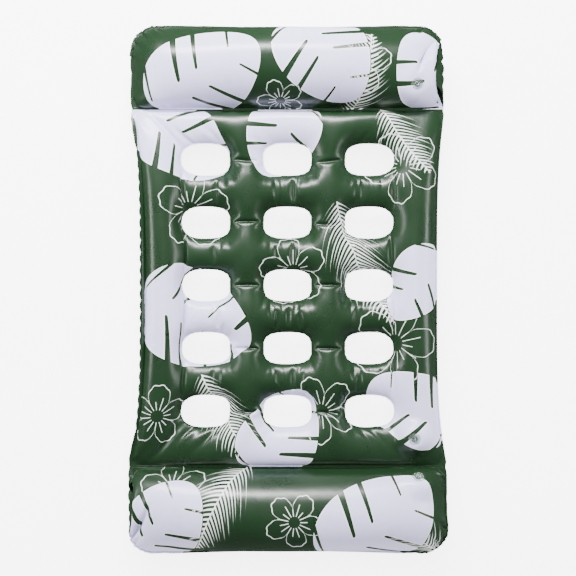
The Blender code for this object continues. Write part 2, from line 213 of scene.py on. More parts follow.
def length_setting(name, description, default, least):
    values = dict(name=name, description=description, default=default, min=least)
    return bpy.props.FloatProperty(subtype="DISTANCE", unit="LENGTH", **values)


def colour_setting(name, description, default):
    values = dict(name=name, description=description, default=default, min=0.0, max=1.0)
    return bpy.props.FloatVectorProperty(subtype="COLOR", size=3, **values)


class FloatMatSettings(bpy.types.PropertyGroup):
    film_thickness: length_setting(
        "Film thickness", "Thickness of one sheet of vinyl film", 0.0004, 0.0001
    )
    weld_width: length_setting(
        "Edge weld width", "Width of the flat welded edge round the outline", 0.007, 0.001
    )
    bead_radius: length_setting(
        "Weld bead radius", "Radius of the raised bead along each weld", 0.0009, 0.0004
    )
    cushion_height: length_setting(
        "Cushion half height", "Height of a full cushion above its weld line", 0.1198, 0.02
    )
    mat_height: length_setting(
        "Mat half height", "Height of the mat's tubes above the weld line", 0.060, 0.02
    )
    camera_height: length_setting(
        "Camera height", "Height of the camera above the floor", 3.6, 1.0
    )
    film_colour: colour_setting(
        "Film colour", "Colour of the film between the prints", (0.0085, 0.0250, 0.0098)
    )
    print_colour: colour_setting(
        "Print colour", "Colour of the printed leaves and flowers", (0.71, 0.68, 1.0)
    )


# Weld lines
def eased_in(values, low, high):
    """0 below low, 1 above high, smooth between."""
    share = np.clip((values - low) / (high - low), 0, 1)
    return share * share * (3 - 2 * share)


def hole_line(middle, half, count=120):
    """Closed line of a rounded hole."""
    turn = np.linspace(0, 2 * math.pi, count, endpoint=False)
    line = np.column_stack([np.cos(turn), np.sin(turn)])
    return middle + half * np.sign(line) * np.abs(line) ** (2 / HOLE_SQUARENESS)


def cushion_line(fold_half, half, depth, radius, bow):
    """Line round a cushion, from the right end of its fold to the left end."""
    corner_x = half - radius
    rise = np.linspace(0, 1, 31)
    side = np.column_stack([fold_half + (half - fold_half) * rise, (depth - radius) * rise])
    turn = np.linspace(0, math.pi / 2, 41)[1:]
    corner = np.column_stack(
        [corner_x + radius * np.cos(turn), depth - radius + radius * np.sin(turn)]
    )
    x = np.linspace(corner_x, -corner_x, 161)[1:-1]
    far = np.column_stack([x, depth + bow * (1 - (x / corner_x) ** 2)])
    right = np.vstack([side, corner])
    return np.vstack([right, far, (right * [-1, 1])[::-1]])


def mat_side(low, high, foot, waist, head):
    """Right-hand side of the mat, from the footrest's fold to the headrest's."""
    along = np.linspace(-1, 1, 121)
    ends = (head + foot) / 2 + (head - foot) / 2 * along
    half = ends + (waist - ends) * (1 - along**WAIST_FLATNESS)
    return np.column_stack([half, low + (along + 1) / 2 * (high - low)])


def fold_line(half, y):
    x = np.linspace(-half, half, 101)
    return np.column_stack([x, np.full(len(x), y)])


def weld_lines(folds, half, head, foot, hole_half, hole_pitch, hole_shift):
    """The outline, anticlockwise from the footrest's left fold end, the two folds, the holes."""
    high, low = folds
    right = mat_side(low, high, **half)
    left = (right * [-1, 1])[::-1]
    top = cushion_line(half["head"], **head) + [0, high]
    bottom = (cushion_line(half["foot"], **foot) * [1, -1])[::-1] + [0, low]
    lines = [np.vstack([bottom[:-1], right[:-1], top[:-1], left[:-1]])]
    lines += [fold_line(half["head"], high), fold_line(half["foot"], low)]
    for row in range(HOLE_ROWS):
        for column in range(HOLE_COLUMNS):
            place = np.array([column - (HOLE_COLUMNS - 1) / 2, row - (HOLE_ROWS - 1) / 2])
            lines.append(hole_line(place * hole_pitch + [0, hole_shift], hole_half))
    return lines


def raised_places(flat, reach):
    """Raised seams: share of each point in the seam, its way in from the edge, side and values."""
    x, y = flat.T
    run = np.clip((np.abs(y) - PATTERN_END) / PATTERN["head"]["depth"], 0, 1)
    at_end = np.sin(math.pi * np.clip(run * END_RAISE_RUN, 0, 1)) ** END_RAISE_ROUNDNESS
    at_side = (1 - np.clip(y / PATTERN_END, -1, 1) ** 2) ** SIDE_RAISE_ROUNDNESS
    for (side, edge, *values), share in (
        (HEAD_END_RAISE, at_end * (y > PATTERN_END)),
        (FOOT_END_RAISE, at_end * (y < -PATTERN_END)),
        (MAT_SIDE_RAISE, at_side * (np.abs(y) < PATTERN_END)),
    ):
        yield eased_in(side * x, *reach) * share, edge - side * x, side, values


def seam_raise(flat):
    """How far the outline's seam is drawn in, across the float, and raised."""
    shift = np.zeros((2, len(flat)))
    for share, _, side, (raised, drawn_in, _, _) in raised_places(flat, GATHER_FROM):
        shift[0] -= side * drawn_in * share
        shift[1] += raised * share
    return shift


def seam_draw(flat):
    """How far both sheets beside a raised seam are drawn in, across the float."""
    draw = np.zeros(len(flat))
    for share, inward, side, (_, _, pulled_in, _) in raised_places(flat, FLANK_REACH):
        draw += side * pulled_in * share * (1 - eased_in(inward, 0, FLANK_WIDTH))
    return draw


def flank_bulge(flat):
    """How far the underside swells out, across the float, below each raised seam."""
    bulge = np.zeros(len(flat))
    scallop = FLANK_SCALLOP * np.abs(np.sin(math.pi * flat[:, 1] / GATHER_PITCH))
    for share, inward, side, (_, _, _, swell) in raised_places(flat, FLANK_REACH):
        round_out = np.sin(math.pi * np.sqrt(np.clip(inward / FLANK_WIDTH, 0, 1)))
        bulge += side * (swell + scallop) * share * round_out
    return bulge


def gathered(rim, rim_full):
    """The drawn outline with small gathers round the cushions' ends."""
    along = np.r_[0, np.cumsum(np.linalg.norm(np.diff(rim_full, axis=0), axis=1))]
    run = np.roll(rim_full, -1, axis=0) - np.roll(rim_full, 1, axis=0)
    out = np.column_stack([run[:, 1], -run[:, 0]])
    out /= np.linalg.norm(out, axis=1)[:, None]
    x, y = np.abs(rim).T
    beyond = eased_in(y, PATTERN_END, PATTERN_END + GATHER_EASE)
    depth = GATHER_DEPTH * eased_in(x, *GATHER_FROM) * beyond
    wave = np.abs(np.sin(math.pi * along / GATHER_PITCH)) - GATHER_MIDDLE
    return rim_full + out * (depth * wave)[:, None]


# Cutting the film into triangles
def spaced(flat, drawn, step, closed):
    """Points at even steps along a line of the pattern, with the place each is drawn to."""
    if closed:
        flat, drawn = loop_round(flat), loop_round(drawn)
    run = np.r_[0, np.cumsum(np.linalg.norm(np.diff(flat, axis=0), axis=1))]
    count = max(3, round(run[-1] / step))
    at = np.linspace(0, run[-1], count + 1)
    if closed:
        at = at[:-1]
    return [
        np.column_stack([np.interp(at, run, line[:, axis]) for axis in (0, 1)])
        for line in (flat, drawn)
    ]


def inside(loop, points):
    """Which points lie inside a closed line."""
    boxed = (points >= loop.min(axis=0)) & (points <= loop.max(axis=0))
    near = np.where(boxed.all(axis=1))[0]
    x, y = points[near].T
    odd = np.zeros(len(near), bool)
    for (x0, y0), (x1, y1) in zip(loop, np.roll(loop, -1, axis=0)):
        if y0 != y1:
            odd ^= ((y0 > y) != (y1 > y)) & (x < (x1 - x0) * (y - y0) / (y1 - y0) + x0)
    found = np.zeros(len(points), bool)
    found[near] = odd
    return found


def beside(line, points, reach):
    """Which points lie within reach of a line."""
    hit = np.zeros(len(points), bool)
    order = np.argsort(points[:, 1])
    heights = points[order, 1]
    for a, b in zip(line, line[1:]):
        low = np.searchsorted(heights, min(a[1], b[1]) - reach)
        high = np.searchsorted(heights, max(a[1], b[1]) + reach)
        near = order[low:high]
        run = b - a
        share = np.clip(((points[near] - a) @ run) / max(run @ run, 1e-12), 0, 1)
        away = points[near] - (a + share[:, None] * run)
        hit[near] |= np.hypot(*away.T) < reach
    return hit


def nearest(points, place):
    return int(np.argmin(np.hypot(*(points - place).T)))


def loop_round(line):
    return np.vstack([line, line[:1]])


def corner_weld(side, up, half, fold_y, radius):
    """Arc that rounds off a chamber at the end of its fold, and the corner that it cuts off."""
    centre = np.array([side * (half - radius), fold_y + up * radius])
    turn = np.linspace(0, math.pi / 2, 12)
    arc = centre + radius * np.column_stack([side * np.cos(turn), -up * np.sin(turn)])
    outside = side * half * OUTSIDE
    corner = [[outside, centre[1]], arc, [centre[0], fold_y], [outside, fold_y]]
    return arc, np.vstack(corner)


def triangle_grid(low, high, step):
    """Points of even triangles between two corners."""
    grid = []
    for index, y in enumerate(np.arange(low[1] + 0.3 * step, high[1], step * math.sqrt(3) / 2)):
        x = np.arange(low[0] + (step / 2 if index % 2 else 0), high[0], step)
        grid.append(np.column_stack([x, np.full(len(x), y)]))
    return np.vstack(grid)


def cut_film(step):
    """Triangles of the flat film: points, faces, drawn places, weld kinds, faces with air."""
    outline, *lines = zip(weld_lines(**PATTERN), weld_lines(**FULL))
    (outer, outer_full), folds, holes = outline, lines[:2], lines[2:]
    rim, rim_full = spaced(outer, outer_full, step, True)
    for line, full in folds:
        for end in (0, -1):
            spot = nearest(rim, line[end])
            rim[spot], rim_full[spot] = line[end], full[end]
    rim_full = gathered(rim, rim_full)
    points, places, kinds, edges = [], [], [], []

    def add(line, full, kind, ends=None, closed=False):
        start = sum(len(p) for p in points)
        path = list(range(start, start + len(line)))
        points.append(line)
        places.append(full)
        kinds.append(np.full(len(line), kind))
        if ends:
            path = [ends[0], *path, ends[1]]
        edges.extend(zip(path, path[1:]))
        if closed:
            edges.append((path[-1], path[0]))
        return path

    add(rim, rim_full, OUTLINE, closed=True)
    paths = []
    for line, full in folds:
        inner, inner_full = spaced(line, full, step, False)
        ends = (nearest(rim, line[0]), nearest(rim, line[-1]))
        paths.append(add(inner[1:-1], inner_full[1:-1], FOLD, ends))
    drawn = np.vstack(points)
    corners = []
    for (sign, _), (line, _), path in zip(FOLDS, folds, paths):
        half, fold_y = abs(line[0][0]), line[0][1]
        for side in (-1, 1):
            for up, radius in ((sign, CORNER_WELD_CUSHION), (-sign, CORNER_WELD_MAT)):
                arc, corner = corner_weld(side, up, half, fold_y, radius)
                corners.append((arc, corner))
                start = nearest(rim, arc[0])
                stop = path[int(np.argmin(np.abs(drawn[path][:, 0] - arc[-1][0])))]
                count = max(2, round(radius * math.pi / 2 / step))
                at, known = np.linspace(0, 1, count + 1)[1:-1], np.linspace(0, 1, len(arc))
                inner = np.column_stack([np.interp(at, known, column) for column in arc.T])
                add(inner, inner, FREE, (start, stop))
    for line, full in holes:
        add(*spaced(line, full, step * HOLE_STEP, True), HOLE, closed=True)

    grid = triangle_grid(outer.min(axis=0), outer.max(axis=0), step)
    clear = CLEAR_OF_WELD * step
    keep = inside(outer, grid) & ~beside(loop_round(rim), grid, clear)
    for line, _ in folds:
        keep &= ~beside(line, grid, clear)
    for line, _ in holes:
        keep &= ~inside(line, grid) & ~beside(loop_round(line), grid, clear)
    for arc, _ in corners:
        keep &= ~beside(arc, grid, CLEAR_OF_CORNER * step)

    every = [Vector(point) for point in np.vstack([*points, grid[keep]])]
    verts, _, faces, origin, _, _ = delaunay_2d_cdt(every, edges, [], 0, SAME)
    flat, faces = np.array([p[:] for p in verts]), np.array(faces)
    places, kinds = np.vstack(places), np.concatenate(kinds)
    full, kind = np.zeros_like(flat), np.zeros(len(flat), int)
    for new, old in enumerate(origin):
        known = [i for i in old if i < len(places)]
        if known:
            full[new], kind[new] = places[known[0]], kinds[known[0]]
    middle = flat[faces].mean(axis=1)
    keep = inside(outer, middle)
    for line, _ in holes:
        keep &= ~inside(line, middle)
    faces = faces[keep]
    a, b, c = flat[faces.T]
    twice_area = (b - a)[:, 0] * (c - a)[:, 1] - (b - a)[:, 1] * (c - a)[:, 0]
    faces[twice_area < 0] = faces[twice_area < 0][:, ::-1]
    faces, (flat, full, kind) = used_part(faces[np.abs(twice_area) > SLIVER], flat, full, kind)
    middle = flat[faces].mean(axis=1)
    air = np.ones(len(faces), bool)
    for _, corner in corners:
        air &= ~inside(corner, middle)
    return flat, faces, full, kind, air


# Edges and finer triangles
def directed_edges(faces):
    return np.concatenate([faces[:, [0, 1]], faces[:, [1, 2]], faces[:, [2, 0]]]).astype(np.int64)


def open_edges(faces, count):
    """Edges that only one face has, in that face's direction."""
    edge = directed_edges(faces)
    a, b = edge.T
    return edge[~np.isin(a * count + b, b * count + a)]


def counted_edges(faces):
    """Each edge once, its code, and how many faces have it."""
    edge = np.sort(directed_edges(faces), axis=1)
    count = int(faces.max()) + 1
    code, uses = np.unique(edge[:, 0] * count + edge[:, 1], return_counts=True)
    return np.column_stack([code // count, code % count]), code, uses


def used_part(faces, *columns):
    """Faces numbered anew by the points that they use, and the rows of those points."""
    used = np.unique(faces)
    place = np.full(int(faces.max()) + 1, -1)
    place[used] = np.arange(len(used))
    return place[faces], [column[used] for column in columns]


def finer(flat, faces, full, kind, air, top, bottom):
    """Each triangle cut in four, with the weld kinds carried on to the new points."""
    count = len(flat)
    edge, code, uses = counted_edges(faces)
    y = flat[edge][:, :, 1]
    on_rim = uses == 1
    on_fold = (np.abs(np.abs(y) - PATTERN_END) < SAME).all(axis=1)
    on_fold &= np.abs(y[:, 0] - y[:, 1]) < SAME
    new_kind = np.zeros(len(edge), int)
    new_kind[on_rim] = np.where((kind[edge[on_rim]] == HOLE).all(axis=1), HOLE, OUTLINE)
    new_kind[on_fold & ~on_rim] = FOLD

    def middle_of(a, b):
        low, high = np.minimum(a, b).astype(np.int64), np.maximum(a, b)
        return count + np.searchsorted(code, low * count + high)

    def halved(values):
        return np.vstack([values, (values[edge[:, 0]] + values[edge[:, 1]]) / 2])

    a, b, c = faces.T
    ab, bc, ca = middle_of(a, b), middle_of(b, c), middle_of(c, a)
    corners = [(a, ab, ca), (ab, b, bc), (ca, bc, c), (ab, bc, ca)]
    faces = np.vstack([np.column_stack(corner) for corner in corners])
    kind, air = np.r_[kind, new_kind], np.tile(air, 4)
    return halved(flat), faces, halved(full), kind, air, halved(top), halved(bottom)


# Blowing up
def film_lengths(flat, edge):
    """Length of each edge of the film at rest, drawn in along the mat's sides and ends."""
    run = flat[edge[:, 0]] - flat[edge[:, 1]]
    x, y = np.abs(flat[edge[:, 0]] + flat[edge[:, 1]]).T / 2
    mat = y < PATTERN_END
    side = SIDE_GATHER * eased_in(x, *SIDE_GATHER_FROM) * mat
    near_end = eased_in(y, PATTERN_END - END_GATHER_REACH, PATTERN_END)
    near_end = END_GATHER * near_end * (1 - eased_in(x, *END_GATHER_HALF)) * mat
    return np.hypot(run[:, 0] * (1 - near_end), run[:, 1] * (1 - side))


def grouped(index, count):
    order = np.argsort(index, kind="stable")
    return order, np.searchsorted(index[order], np.arange(count))


def blow_up(places, faces, edge, length, free, air, hold, goal, rounds, stiffness):
    """Film under air pressure: springs that push little when slack, welds held to their places."""
    single = np.float32
    places, goal, hold = places.astype(single), goal.astype(single), hold.astype(single)
    count = len(places)
    own = np.concatenate([edge[:, 0], edge[:, 1]])
    other = np.concatenate([edge[:, 1], edge[:, 0]])
    order, start = grouped(own, count)
    own, other = own[order], other[order]
    length = np.tile(length, 2)[order].astype(single)
    links = np.bincount(own, minlength=count).astype(single)[:, None]
    ease = 1 / (links * single(FILM_SPRING * FILM_EASE))
    a, b, c = faces.T
    corner_order, corner_start = grouped(np.concatenate([a, b, c]), count)
    corner_face = np.tile(np.arange(len(faces)), 3)[corner_order]
    air = air.astype(single)[:, None]
    stiff = (free * stiffness * 2).astype(single)[:, None]
    pull, push = single(FILM_SPRING), single(FILM_SPRING * FILM_SLACK)
    speed = np.zeros_like(places)
    for turn in range(rounds):
        run = places.take(other, 0)
        run -= places.take(own, 0)
        stretch = 1 - length / np.sqrt(np.einsum("ij,ij->i", run, run))
        stretch *= np.where(stretch < 0, push, pull)
        bends = turn % 2 == 0
        if bends:
            curve = np.add.reduceat(run, start) / links
            curl = np.add.reduceat(curve.take(other, 0), start) / links - curve
        run *= stretch[:, None]
        force = np.add.reduceat(run, start)
        p = places.take(a, 0)
        q, r = places.take(b, 0) - p, places.take(c, 0) - p
        out = np.empty_like(p)
        for x, y, z in ((0, 1, 2), (1, 2, 0), (2, 0, 1)):
            out[:, x] = q[:, y] * r[:, z] - q[:, z] * r[:, y]
        out *= air
        force += np.add.reduceat(out.take(corner_face, 0), corner_start)
        force *= ease
        if bends:
            force -= curl * stiff
        force -= hold * (places - goal)
        speed *= single(AIR_DAMPING)
        speed += force
        places += speed
    return places.astype(float)


def holding(flat, kind, welded, step):
    """How firmly each point is held to its drawn place, along x, y and z."""
    hold = np.zeros((len(flat), 3))
    y = np.abs(flat[:, 1])
    mat, rim = y < PATTERN_END - SAME, kind == OUTLINE
    on_fold = (kind == FOLD) | (rim & (np.abs(y - PATTERN_END) < SAME))
    hold[rim & mat] = (HOLD_SIDE, HOLD_OUTLINE / 2, 0)
    hold[rim & ~mat] = (HOLD_OUTLINE, HOLD_OUTLINE, 0)
    hold[on_fold] = (HOLD_OUTLINE, HOLD_FOLD, 0)
    hold[kind == HOLE] = (HOLD_HOLE, HOLD_HOLE, 0)
    hold[welded, 2] = HOLD_HEIGHT
    return hold * step


def inflated_film(levels):
    """The whole film when full: flat points, faces, and the places of its two sheets."""
    random = np.random.default_rng(3)
    step = FIRST_STEP
    flat, faces, full, kind, air = cut_film(step)
    for level in range(levels):
        if level:
            step /= 2
            film = finer(flat, faces, full, kind, air, top, bottom)
            flat, faces, full, kind, air, top, bottom = film
        count = len(flat)
        welded = kind != FREE
        welded[faces[~air].ravel()] = True
        loose = np.where(~welded)[0]
        under = np.arange(count)
        under[loose] = count + np.arange(len(loose))
        total = count + len(loose)
        both_flat = np.vstack([flat, flat[loose]])
        if level == 0:
            length = (HEAD_FOLD_Y - FOOT_FOLD_Y) / PATTERN_LENGTH
            squeeze = [FULL["half"]["waist"] / PATTERN["half"]["waist"], length]
            places = both_flat * squeeze + [0, (HEAD_FOLD_Y + FOOT_FOLD_Y) / 2]
            places = np.column_stack([places, np.zeros(total)])
            places[loose, 2], places[under[loose], 2] = step, -step
        else:
            places = np.vstack([top, bottom[loose]])
        held = np.r_[welded, np.zeros(len(loose), bool)]
        places[:, 2] += random.normal(0, UNEVENNESS, total) * ~held
        goal, hold = np.zeros((total, 3)), np.zeros((total, 3))
        goal[:count, :2] = full
        seam = np.where(kind == OUTLINE)[0]
        drawn_in, raised = seam_raise(flat[seam])
        goal[seam, 0] += drawn_in
        goal[seam, 2] = raised
        hold[:count] = holding(flat, kind, welded, step)
        hold[seam, 0] += HOLD_RAISED * step * np.minimum(raised / RAISED_FULLY, 1)
        both = np.vstack([faces, under[faces][:, ::-1]])
        edge = counted_edges(both)[0]
        length = film_lengths(both_flat, edge)
        free = (~held).astype(float)
        push = np.tile(np.where(air, AIR_PRESSURE / 6, 0), 2)
        rounds, stiffness = ROUNDS[level], STIFFNESS[level]
        places = blow_up(places, both, edge, length, free, push, hold, goal, rounds, stiffness)
        top, bottom = places[:count], places[under]
    return flat, faces, top, bottom


# Chambers
def full_height(chamber, settings):
    return settings.mat_height if chamber == "mat" else settings.cushion_height


def set_on_folds(flat, places, settings):
    """Folds straight on their axes, and every chamber at its full height."""
    x, y = flat.T
    for sign, axis_y in FOLDS:
        away = np.abs(y - sign * PATTERN_END)
        line = np.where(away < SAME)[0]
        line = line[np.argsort(x[line])]
        near = 1 - eased_in(away, 0, FOLD_LEVEL_REACH)
        places[:, 1] += (axis_y - np.interp(x, x[line], places[line, 1])) * near
        places[:, 2] -= np.interp(x, x[line], places[line, 2]) * near
    for chamber, part in (
        ("headrest", y > PATTERN_END),
        ("footrest", y < -PATTERN_END),
        ("mat", np.abs(y) <= PATTERN_END),
    ):
        places[part, 2] *= full_height(chamber, settings) / np.abs(places[part, 2]).max()
    places[:, 0] -= seam_draw(flat)
    return places


def fold_room(flat, places, chamber):
    """Draws a chamber's film back from its folds, for the fold weld and for room to fold."""
    low, high = CHAMBERS[chamber]
    for side, fold in ((-1, high), (1, low)):
        if abs(fold) == NO_FOLD:
            continue
        axis_y = HEAD_FOLD_Y if fold > 0 else FOOT_FOLD_Y
        away = np.abs(flat[:, 1] - fold)
        near = 1 - eased_in(away, 0, FOLD_PULL_REACH)
        places[:, 1] += side * (FOLD_WELD + FOLD_HALF_GAP) * near
        short = np.abs(places[:, 2]) * FOLD_LEAN - side * (places[:, 1] - axis_y)
        short = np.clip(short, -FOLD_SOFTNESS, None) + FOLD_SOFTNESS
        back = short**2 / (4 * FOLD_SOFTNESS)
        back = np.where(short < 2 * FOLD_SOFTNESS, back, short - FOLD_SOFTNESS)
        places[:, 1] += side * back * (away < FOLD_REACH)
    return places


def rim_steps(faces, flat, places, chamber, width):
    """For each rim point of a sheet, how far out its weld reaches; and the rim's edges."""
    rim = open_edges(faces, len(flat))
    run = places[rim[:, 1], :2] - places[rim[:, 0], :2]
    normal = np.column_stack([run[:, 1], -run[:, 0]])
    normal /= np.linalg.norm(normal, axis=1)[:, None]
    on_fold = (np.abs(np.abs(flat[rim][:, :, 1]) - PATTERN_END) < SAME).all(axis=1)
    holes_half = PATTERN["hole_pitch"][0] * (HOLE_COLUMNS - 1) / 2 + PATTERN["hole_half"][0]
    in_hole = np.abs(flat[rim].mean(axis=1)[:, 0]) < holes_half + BEYOND_HOLES
    in_hole &= chamber == "mat"
    reach = np.where(on_fold, FOLD_WELD, np.where(in_hole, HOLE_WELD, width))
    step = np.zeros((len(flat), 2))
    before = {int(b): i for i, (_, b) in enumerate(rim)}
    for i, (a, _) in enumerate(rim):
        j = before[int(a)]
        pair = normal[[i, j]]
        facing = pair[0] @ pair[1]
        if facing > STRAIGHT_RIM:
            both = pair.sum(axis=0)
            step[a] = both / (both @ both) * (reach[i] + reach[j])
        elif facing > SHARP_RIM:
            step[a] = np.linalg.solve(pair, reach[[i, j]])
        else:
            step[a] = pair[0] * reach[i]
    length = np.maximum(np.linalg.norm(step, axis=1), 1e-9)
    step *= np.minimum(1, WELD_CORNER * width / length)[:, None]
    return step, rim


def chamber_cut(chamber, flat, faces, places, settings):
    """A chamber's part of one sheet, and how far out the weld round it reaches."""
    low, high = CHAMBERS[chamber]
    middle = flat[faces].mean(axis=1)[:, 1]
    faces = faces[(middle > low) & (middle < high)]
    places = fold_room(flat, places.copy(), chamber)
    places[:, 2] += WELD_Z
    faces, (flat, places) = used_part(faces, flat, places)
    return flat, faces, places, *rim_steps(faces, flat, places, chamber, settings.weld_width)


def weld_reach(chamber, heights, step, settings):
    """From the rim to the weld's outer edge, leaning where the seam is raised."""
    lean = (heights - WELD_Z) / full_height(chamber, settings)
    lean = np.clip(lean, -WELD_LEAN, WELD_LEAN)
    level = step * np.sqrt(1 - lean**2)[:, None]
    return np.column_stack([level, np.linalg.norm(step, axis=1) * lean])


def normals_of(places, faces):
    a, b, c = places[faces.T]
    cross = np.cross(b - a, c - a)
    total = np.zeros_like(places)
    for corner in faces.T:
        for axis in range(3):
            total[:, axis] += np.bincount(corner, cross[:, axis], len(places))
    return total / np.maximum(np.linalg.norm(total, axis=1), 1e-12)[:, None]


def bar_puckers(flat):
    """How deep the film lies in the creases and gathers that cross the bars between two holes."""
    pitch_x, pitch_y = PATTERN["hole_pitch"]
    column = flat[:, 0] / pitch_x
    row = (flat[:, 1] - PATTERN["hole_shift"]) / pitch_y
    bar = np.floor(row)
    aside = (column - np.round(column)) * pitch_x
    from_bar = np.abs(row - bar - 0.5) * pitch_y
    in_rows = np.abs(row) < HOLE_ROWS / 2 - BEYOND_BARS
    grid = (np.abs(column) < HOLE_COLUMNS / 2) & in_rows
    across = (1 - eased_in(from_bar, *PUCKER_REACH)) * grid
    which = np.column_stack([np.round(column), bar, np.sign(aside)]) @ CREASE_UNEVENNESS
    crease = np.exp(-(((np.abs(aside) - CREASE_ASIDE) / CREASE_WIDTH) ** 2))
    crease *= np.abs(np.sin(which))
    wave = np.sin(2 * math.pi * aside / PUCKER_PITCH + PUCKER_SHIFT[0] * bar)
    ripple = 0.5 + 0.5 * wave * np.sin(PUCKER_FADING * flat[:, 0] + PUCKER_SHIFT[1] * bar)
    ripple *= 1 - eased_in(np.abs(aside), PUCKER_MIDDLE, CREASE_ASIDE)
    return across * (CREASE_DEPTH * crease + PUCKER_DEPTH * ripple)


# Valves
def seat_valve(chamber, flat, faces, places, settings):
    """Draws the film up to the underside of the valve's flange and opens it under the stem."""
    out = np.array(JOINTS[f"{chamber}_stem_slide"]["axis"], float)
    out = out if out[2] > 0 else -out
    flange = frame["nodes"][f"{chamber}_valve_flange"].data
    points = np.array([v.co for v in flange.vertices], float)
    centre = (points.max(axis=0) + points.min(axis=0)) / 2
    under = ((points - centre) @ out).min()
    level = under - WELD_GAP - settings.film_thickness - WELD_GAP / 2
    offset = places - centre
    height = offset @ out
    away = np.linalg.norm(offset - height[:, None] * out, axis=1)
    near = np.abs(height) < VALVE_SEAT[1]
    share = near * (1 - eased_in(away, *VALVE_SEAT))
    places = places + ((level - height) * share)[:, None] * out
    gone = near & (away < VALVE_OPENING)
    faces = faces[~gone[faces].any(axis=1)]
    rim = np.unique(open_edges(faces, len(flat)))
    rim = rim[near[rim] & (away[rim] < VALVE_OPENING_REACH)]
    spoke = offset[rim] - height[rim][:, None] * out
    places[rim] += spoke * (VALVE_OPENING_RIM / np.linalg.norm(spoke, axis=1) - 1)[:, None]
    return faces, places


# Meshes
def put_in_scene(name, data, place=(0, 0, 0)):
    piece = bpy.data.objects.new(name, data)
    piece.location = place
    bpy.context.scene.collection.objects.link(piece)
    return piece


def mesh_object(name, places, faces, uv, sharp, material):
    mesh = bpy.data.meshes.new(name)
    mesh.from_pydata(places.tolist(), [], faces)
    mesh.shade_smooth()
    layer = mesh.uv_layers.new(name="pattern")
    corner = np.zeros(len(mesh.loops), np.int32)
    mesh.loops.foreach_get("vertex_index", corner)
    layer.data.foreach_set("uv", uv[corner].astype(np.float32).ravel())
    keys = {(min(pair), max(pair)) for pair in sharp}
    for edge in mesh.edges:
        if edge.key in keys:
            edge.use_edge_sharp = True
    mesh.materials.append(material)
    mesh.update()
    return put_in_scene(name, mesh)


def thicken(piece, thickness, offset):
    """Gives a sheet its thickness: all of it outwards at offset 1, half each way at 0."""
    thick = piece.modifiers.new("Thickness", "SOLIDIFY")
    thick.thickness = thickness
    thick.offset = offset


def film_sheet(chamber, side, film, settings, material):
    """One sheet of a chamber: its film, the flat welds round it, and its thickness."""
    flat, faces, top, bottom = film
    is_top = side == "top"
    flat, faces, places, step, rim = chamber_cut(
        chamber, flat, faces, top if is_top else bottom, settings
    )
    if is_top:
        faces, places = seat_valve(chamber, flat, faces, places, settings)
    rim_points, order = np.unique(rim, return_inverse=True)
    edge = len(flat) + order.reshape(rim.shape)
    step = step[rim_points]
    weld = places[rim_points] + weld_reach(chamber, places[rim_points, 2], step, settings)
    places = np.vstack([places, weld])
    flat = np.vstack([flat, flat[rim_points] + step])
    strips = np.column_stack([rim[:, 0], edge, rim[:, 1]])
    triangles = np.vstack([faces, strips[:, :3], strips[:, [0, 2, 3]]])
    lift = np.full(len(places), WELD_GAP / 2)
    if chamber == "mat":
        lift -= bar_puckers(flat)
    normal = normals_of(places, triangles) * (1 if is_top else -1)
    places = places + normal * lift[:, None]
    polygons = faces.tolist() + strips.tolist()
    if not is_top:
        places[:, 0] += flank_bulge(flat)
        places[:, 2] = np.maximum(places[:, 2], settings.film_thickness)
        polygons = [polygon[::-1] for polygon in polygons]
    uv = flat if is_top else flat * [-1, 1]
    sharp = rim.tolist() + edge.tolist()
    piece = mesh_object(f"{chamber}_{side}_film", places, polygons, uv, sharp, material)
    thicken(piece, settings.film_thickness, 1)
    return piece


def fold_web(chamber, axis_y, half, material):
    """Thin web of fused film that joins two chambers along a fold, between their weld edges."""
    across = np.linspace(-half, half, 121)
    along = np.linspace(-FOLD_WELD, FOLD_WELD, 9)
    x, y = np.meshgrid(across, axis_y + along)
    count = len(across)
    places = np.column_stack([x.ravel(), y.ravel(), np.full(x.size, WELD_Z)])
    faces = [
        (i, i + 1, i + count + 1, i + count)
        for row in range(len(along) - 1)
        for i in range(row * count, row * count + count - 1)
    ]
    uv = places[:, :2] + [0, PATTERN_END * np.sign(axis_y) - axis_y]
    web = mesh_object(f"{chamber}_fold_web", places, faces, uv, [], material)
    thicken(web, WELD_GAP / 3, 0)
    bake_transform(web)


def new_group(name, kind, inputs, output):
    """An empty node group with inputs, each of a kind and with a default, and one output."""
    tree = bpy.data.node_groups.new(name, kind)
    for name, (socket_kind, default) in inputs.items():
        kind = "NodeSocket" + socket_kind
        socket = tree.interface.new_socket(name, in_out="INPUT", socket_type=kind)
        if default is not None:
            socket.default_value = default
    name, kind = output
    tree.interface.new_socket(name, in_out="OUTPUT", socket_type="NodeSocket" + kind)
    return tree


def weld_bead_tree():
    """A round bead swept along every line of a wire mesh."""
    inputs = {
        "Geometry": ("Geometry", None),
        "Radius": ("Float", 0.0009),
        "Sides": ("Int", 6),
        "Film": ("Material", None),
    }
    tree = new_group("Weld bead", "GeometryNodeTree", inputs, ("Geometry", "Geometry"))
    tree.interface.items_tree["Radius"].subtype = "DISTANCE"
    w = Wiring(tree)
    given = w.add("NodeGroupInput").outputs
    path = w.value("GeometryNodeMeshToCurve", {"Mesh": given["Geometry"]})
    ring = {"Resolution": given["Sides"], "Radius": given["Radius"]}
    ring = w.value("GeometryNodeCurvePrimitiveCircle", ring)
    bead = w.value("GeometryNodeCurveToMesh", {"Curve": path, "Profile Curve": ring})
    bead = w.value("GeometryNodeSetShadeSmooth", {"Geometry": bead})
    bead = w.value("GeometryNodeRealizeInstances", {"Geometry": bead})
    bead = w.value("GeometryNodeSetMaterial", {"Geometry": bead, "Material": given["Film"]})
    w.add("NodeGroupOutput", {"Geometry": bead})
    return tree


